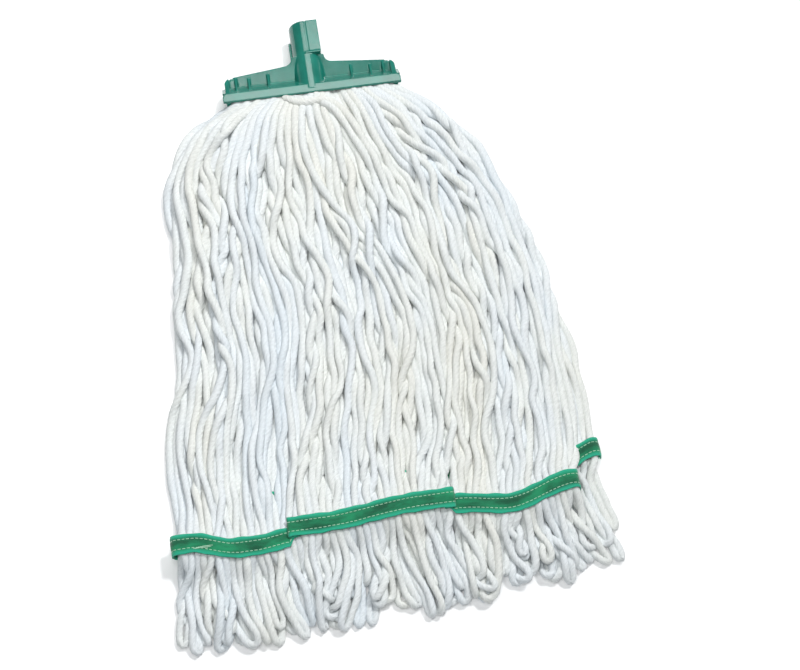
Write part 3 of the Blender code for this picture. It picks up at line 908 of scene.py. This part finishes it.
def pleated_course(side):
    """The same course, through the pleats of the upper tail band."""
    left, right = half_width(side, BAND_S[side])
    share = np.minimum(1, 0.9 + 0.1 * np.arange(len(FOLD_X)))
    x = np.append(np.arange(-left, PLEATS[0] - 1, COURSE_GAP), PLEATS[0] - 0.7)
    course = [np.stack([x, 0 * x, length_shift(0, x)], 1)]
    x = PLEATS[0] + FOLD_X
    step = length_shift(0, PLEATS[0]) * (1 - share) + length_shift(1, PLEATS[0]) * share
    course.append(np.stack([x, FOLD_RISE, step], 1))
    x = np.arange(PLEATS[0] + 8, PLEATS[1] - 7, COURSE_GAP)
    course.append(np.stack([x, tape_rise(x), length_shift(1, x)], 1))
    x = PLEATS[1] - FOLD_X[::-1]
    share = share[::-1]
    step = length_shift(1, PLEATS[1]) * share + length_shift(2, PLEATS[1]) * (1 - share)
    course.append(np.stack([x, FOLD_RISE[::-1], step], 1))
    x = np.append(PLEATS[1] + 0.7, np.arange(PLEATS[1] + 3, right, COURSE_GAP))
    course.append(np.stack([x, 0 * x, length_shift(2, x)], 1))
    return np.concatenate(course)


def tape_path(side, face):
    """The middle line of a tape, bent round the edges of its curtain at both ends."""
    pleated = face == "upper" and side == "upper"
    course = pleated_course(side) if pleated else plain_course(side)
    way, reach, overlap = (1, YARN_R + 1.6, 2.2) if face == "upper" else (-1, YARN_R + 0.3, 1.5)
    lift = way * (STACK_HALF + 0.7 * TAPE_THICK)
    x, rise, shift = course.T
    z = band_height(side, x) + lift + (rise if face == "upper" else 0)
    line = np.stack([x, MOUTH_Y - BAND_S[side] + shift, z], 1)
    ends = []
    for tip, out in ((line[0], -1), (line[-1], 1)):
        middle = band_height(side, tip[0])
        bend = [(0.62, lift * 0.9), (0.95, lift * 0.5), (1.0, 0), (0.97, -way * overlap)]
        ends.append([(tip[0] + out * reach * share, tip[1], middle + drop) for share, drop in bend])
    return curve_points(np.concatenate([ends[0][::-1], line, ends[1]]), TAPE_GAP)


def tape_rings(side, face):
    """Cross-sections of a tape: its outer face, then its inner one, each from one edge to the other."""
    path = tape_path(side, face)
    flat = unit(np.gradient(path, axis=0) * (1, 0, 1))
    up = np.stack([-flat[:, 2], flat[:, 0] * 0, flat[:, 0]], 1)
    wide = np.cross(up, flat)
    along = np.arange(len(path)) * TAPE_GAP
    groove = bump(np.abs(TAPE_V), STITCH_V, 0.75) * 0.42 + bump(np.abs(TAPE_V), TAPE_HALF, 0.5) * 0.25
    pucker = 0.16 * np.sin(along / 1.15)[:, None] * bump(np.abs(TAPE_V), STITCH_V, 1.6)
    pucker = pucker + 0.22 * np.sin(along / 5.3 + TAPE_V[:, None] / 3).T + 0.18 * np.sin(along / 11)[:, None]
    wave = 0.28 * np.sin(along / 4.1) + 0.2 * np.sin(along / 2.2 + 1)
    edge = TAPE_V[None] + (wave[:, None] * (TAPE_V / TAPE_HALF) ** 3)
    inner = path[:, None] + wide[:, None] * edge[..., None] + up[:, None] * pucker[..., None]
    way = 1 if face == "upper" else -1
    outer = inner + way * up[:, None] * ((TAPE_THICK - groove)[None, :, None])
    rings = np.concatenate([outer, inner[:, ::-1]], 1)
    v = np.concatenate([TAPE_V, TAPE_V[::-1]])
    weave = np.stack(np.broadcast_arrays(along[:, None], v[None], 0.0), 2)
    return rings, weave


THREAD_R = 0.29
LOOSE_THREAD_R = 0.3
THREAD_SIDES = 6
THREAD_GAP = 0.5
STITCH_LENGTH, STITCH_SPACE = 2.6, 0.75
STITCH_POINTS = 7
# Each runs from one cross-section of the tape to another, and from one place in TAPE_V to another.
LOOSE_THREADS = ((16, 25, 3, 6), (17, 26, 4, 7), (15, 23, 3, 5))


def thread_tube(points, radius):
    """A short closed tube of thread along the points."""
    path = curve_points(points, THREAD_GAP)
    normal, other = frames(path)
    around = np.arange(THREAD_SIDES) / THREAD_SIDES * 2 * np.pi
    size = radius * np.sqrt(np.clip(np.sin(np.linspace(0.12, np.pi - 0.12, len(path))) * 2.4, 0, 1))
    offset = normal[:, None] * np.cos(around)[None, :, None] + other[:, None] * np.sin(around)[None, :, None]
    rings = path[:, None] + offset * size[:, None, None]
    return rings, np.zeros_like(rings), 0.5


def stitch_row(rings, v_index):
    """Separate stitches along one of the tape's grooves, each rising from the tape and diving back."""
    line = rings[:, v_index]
    up = unit(np.cross(np.gradient(line, axis=0), rings[:, v_index + 1] - line))
    up *= np.sign((up * (line - rings[:, -1 - v_index])).sum(1, keepdims=True))
    steps = np.linalg.norm(np.diff(line, axis=0), axis=1)
    along = np.concatenate([[0], np.cumsum(steps)])
    stitches = []
    start = 1.0
    while start < along[-1] - 4:
        length = STITCH_LENGTH + RANDOM.uniform(-0.25, 0.25)
        want = start + np.linspace(0, 1, STITCH_POINTS) * length
        base = np.stack([np.interp(want, along, line[:, k]) for k in range(3)], 1)
        lift = np.stack([np.interp(want, along, up[:, k]) for k in range(3)], 1)
        rise = -0.28 + 0.5 * np.sin(np.linspace(0, np.pi, STITCH_POINTS)) ** 0.5
        stitches.append(thread_tube(base + lift * rise[:, None], THREAD_R))
        start += length + STITCH_SPACE
    return stitches


def loose_threads(rings):
    """A few long loose stitches near the upper tape's left end."""
    face = rings[:, : len(TAPE_V)]
    threads = []
    for first, last, v0, v1 in LOOSE_THREADS:
        count = last - first + 1
        v = np.linspace(v0, v1, count)
        low = v.astype(int)
        share = (v - low)[:, None]
        row = face[first : last + 1]
        pick = np.arange(count)
        line = row[pick, low] * (1 - share) + row[pick, np.minimum(low + 1, len(TAPE_V) - 1)] * share
        rise = np.array([0, 0, 1])[None] * (0.1 + 0.5 * np.sin(np.linspace(0, np.pi, count)))[:, None]
        threads.append(thread_tube(line + rise, LOOSE_THREAD_R))
    return threads


def make_band(side):
    """A tail band's two tapes and its two rows of stitches."""
    rings, weave = tape_rings(side, "upper")
    made = tube_mesh(f"{side}_tape_top", [(rings, weave, 0.5)], TAPE, "weave")
    pieces = [(made, "upper_tape", "band_tape")]
    under, under_weave = tape_rings(side, "under")
    made = tube_mesh(f"{side}_tape_under", [(under, under_weave, 0.5)], TAPE, "weave")
    pieces.append((made, "under_tape", "band_tape"))
    for row, v_index in enumerate(STITCH_COLUMNS, start=1):
        stitches = stitch_row(rings, v_index)
        if side == "upper" and row == 1:
            stitches += loose_threads(rings)
        made = tube_mesh(f"{side}_stitches_{row}", stitches, THREAD)
        pieces.append((made, f"stitch_row_{row}", "stitch_thread"))
    for made, node, slot in pieces:
        stand_for(made, f"{side}_band_{node}", f"{side}_curtain")


# --- Pieces: inside the holder ---


NECK_STRINGS = 40
NECK_YARN_R = 1.05
NECK_GAP = 1.2  # between the rings of a folded string
CORNER_X, CORNER_Y, CORNER_R = 65.0, MOUTH_Y + 20.9, 8.0  # the rounding of the plate's rear corners
TRIM_BOTTOM, TRIM_HEIGHT = -2, 34  # of what is trimmed off them, past the plate on both sides


def fold_path(rod, rod_r, low, high, outer):
    """The course of one string round the core rod, in y and z, from the mouth and back to it."""
    y, z = rod[1], rod[2]
    near = rod_r + 1.35
    if outer:
        back = [(y + 2, high[2] - 1.6), (y + 5.8, z + 3.4), (y + 6.6, z + 0.8), (y + 4.4, z - 2.1)]
        top, bottom = high[2] - 1.6, low[2] + 2.4
    else:
        turns = np.radians((80, 45, 0, -45, -80))
        back = [(y + near * math.cos(t), z + near * math.sin(t)) for t in turns]
        top, bottom = z + near, z - near + 0.4
    start = MOUTH_Y + 0.5
    out = [(start, top), (start + 3, top)]
    return [*out, *back, (y - 1, z - near), (start + 2, bottom + 0.6), (start, bottom)]


def make_neck():
    """The middles of the strings, side by side round the core rod."""
    low, high = node_box("neck_strings")
    rod_low, rod_high = node_box("core_rod")
    rod, rod_r = (rod_low + rod_high) / 2, (rod_high[2] - rod_low[2]) / 2
    pitch = (high[0] - low[0]) / NECK_STRINGS
    tubes = []
    for number in range(NECK_STRINGS):
        x = low[0] + pitch * (number + 0.5)
        course = [(x, y, z) for y, z in fold_path(rod, rod_r, low, high, number % 2)]
        path = curve_points(np.array(course), NECK_GAP)
        along = np.arange(len(path)) * NECK_GAP + 37 * number
        rings, yarn = yarn_rings(path, along, np.ones(len(path)), np.full(len(path), NECK_YARN_R))
        rings[..., 0] = x + (rings[..., 0] - x) * pitch / 2.2
        tubes.append((rings, yarn, RANDOM.uniform(0, 1)))
    piece = tube_mesh("folded_strings", tubes, COTTON)
    stand_for(piece, "neck_strings", "root")


def corner_trims():
    """What lies outside the rounded rear corners of the holder's plate."""
    x, y, r = CORNER_X, CORNER_Y, CORNER_R
    work = bmesh.new()
    for side in (-1, 1):
        turns = np.radians(np.linspace(0, 90, 10))
        outline = [(x + r * math.cos(turn), y + r * math.sin(turn)) for turn in turns]
        outline += [(x, y + r + 6), (x + r + 4, y + r + 6), (x + r + 4, y)]
        corners = [work.verts.new((side * px * MM, py * MM, TRIM_BOTTOM * MM)) for px, py in outline]
        made = bmesh.ops.extrude_face_region(work, geom=[work.faces.new(corners)])["geom"]
        moved = [part for part in made if isinstance(part, bmesh.types.BMVert)]
        bmesh.ops.translate(work, verts=moved, vec=(0, 0, TRIM_HEIGHT * MM))
    bmesh.ops.recalc_face_normals(work, faces=work.faces)
    return mesh_from("corner_trims", work)


def remeshed(node, voxel, rounds, keep, trims=None):
    """A copy of a CAD node with a fine even mesh and softened edges."""
    source = add_object("source", frame["nodes"][node].data.copy())
    if trims:
        cutter = add_object("cutter", trims)
        cut = source.modifiers.new("trim", "BOOLEAN")
        cut.operation, cut.solver, cut.object = "DIFFERENCE", "EXACT", cutter
    fine = source.modifiers.new("fine", "REMESH")
    fine.mode, fine.voxel_size = "VOXEL", voxel * MM
    soften = source.modifiers.new("soften", "SMOOTH")
    soften.factor, soften.iterations = 0.5, rounds
    if keep < 1:
        source.modifiers.new("thin", "DECIMATE").ratio = keep
    bpy.context.view_layer.update()
    graph = bpy.context.evaluated_depsgraph_get()
    mesh = bpy.data.meshes.new_from_object(source.evaluated_get(graph))
    bpy.data.objects.remove(source)
    if trims:
        bpy.data.objects.remove(cutter)
    mesh.shade_smooth()
    return mesh


def make_headband():
    """The webbing sewn round the fold of the strings."""
    mesh = remeshed("headband", voxel=0.4, rounds=1, keep=0.5)
    points = np.empty(len(mesh.vertices) * 3)
    mesh.vertices.foreach_get("co", points)
    points = points.reshape(-1, 3) / MM
    weave = np.stack([points[:, 0], points[:, 1] + points[:, 2], 0 * points[:, 0]], 1)
    set_vectors(mesh, "weave", weave)
    piece = add_piece("headband_webbing", mesh, WEBBING)
    stand_for(piece, "headband", "root")


def make_holder():
    """The moulding, with the small rounding that a mould leaves on every edge."""
    mesh = remeshed("holder", voxel=0.38, rounds=3, keep=0.28, trims=corner_trims())
    piece = add_piece("holder_moulding", mesh, PLASTIC)
    stand_for(piece, "holder", "root")


def dress(node, look):
    """Gives a CAD node that is shown as it is its material."""
    made = frame["nodes"][node]
    made.data.materials.clear()
    made.data.materials.append(look)


strings = simulate_strings()
for side in SIDES:
    make_strings(side, strings[side])
    make_band(side)
make_neck()
make_headband()
make_holder()
dress("corner_pin_left", PIN_STEEL)
dress("corner_pin_right", PIN_STEEL)
dress("core_rod", ZINC)


# --- Stage, light and camera ---


def add_stage():
    """A wide round floor, whose edge lies far beyond the view."""
    work = bmesh.new()
    bmesh.ops.create_circle(work, cap_ends=True, segments=64, radius=60)
    glow = {"Emission_Color": (1, 1, 1, 1), "Emission_Strength": 0.16}
    look = Look("pale_floor", Roughness=0.9, Specular_IOR_Level=0.1, **glow)
    speck = look.noise(look.place(), 3.0, 2.0, 0.5)
    look.colour(look.ramp(speck, [(0.3, (0.88, 0.88, 0.88)), (0.7, (0.9, 0.9, 0.9))]))
    floor = add_piece("floor", mesh_from("floor", work), look.material)
    floor.location.z = -0.0003


def turn_towards(thing, direction):
    """Points a lamp or the camera along direction."""
    thing.rotation_mode = "QUATERNION"
    thing.rotation_quaternion = direction.to_track_quat("-Z", "Y")


def add_sun(name, towards, strength, softness):
    """Even light from one direction. Its softness is the sky angle it fills, in degrees."""
    lamp = bpy.data.lights.new(name, "SUN")
    lamp.energy = strength
    lamp.angle = math.radians(softness)
    made = add_object(name, lamp)
    turn_towards(made, -Vector(towards))


def add_softbox(name, place, aim, size, power):
    """A square soft light at a place, turned towards aim."""
    lamp = bpy.data.lights.new(name, "AREA")
    lamp.size = size
    lamp.energy = power
    made = add_object(name, lamp)
    made.location = place
    made.visible_camera = False
    turn_towards(made, Vector(aim) - Vector(place))


def add_world(strength):
    """Faint, slightly blue light from all round."""
    world = bpy.data.worlds.new("studio")
    world.use_nodes = True
    sky = world.node_tree.nodes["Background"]
    sky.inputs["Color"].default_value = (0.88, 0.95, 1.0, 1)
    sky.inputs["Strength"].default_value = strength
    bpy.context.scene.world = world


VIEW_TURN, VIEW_TILT = 8.5, 63  # degrees to the mop's left, and down
VIEW_DISTANCE = 1.354
AIM_RIGHT, AIM_DOWN = 0.0442, 0.0192  # of the frame's origin, in metres
LENS = 76


def add_camera():
    """The view from above the fringe, a little to the mop's left, with the mop filling the picture."""
    turn, tilt = math.radians(VIEW_TURN), math.radians(VIEW_TILT)
    look = Vector((math.sin(turn) * math.cos(tilt), math.cos(turn) * math.cos(tilt), -math.sin(tilt)))
    right = look.cross(Vector((0, 0, 1))).normalized()
    centre = right * AIM_RIGHT - right.cross(look) * AIM_DOWN
    data = bpy.data.cameras.new("camera")
    data.lens = LENS
    camera = add_object("camera", data)
    camera.location = centre - look * VIEW_DISTANCE
    turn_towards(camera, look)
    bpy.context.scene.camera = camera


add_stage()
add_sun("key", towards=(0.5, 0.35, 1.0), strength=1.6, softness=8)
add_softbox("front_softbox", place=(-0.13, -0.36, 1.15), aim=(0, 0.2, 0), size=0.4, power=4.8)
add_softbox("rear_softbox", place=(0.06, 0.6, 0.85), aim=(0, 0.1, 0), size=0.5, power=4.0)
add_world(0.2)
add_camera()
bpy.context.scene.view_settings.view_transform = "Standard"
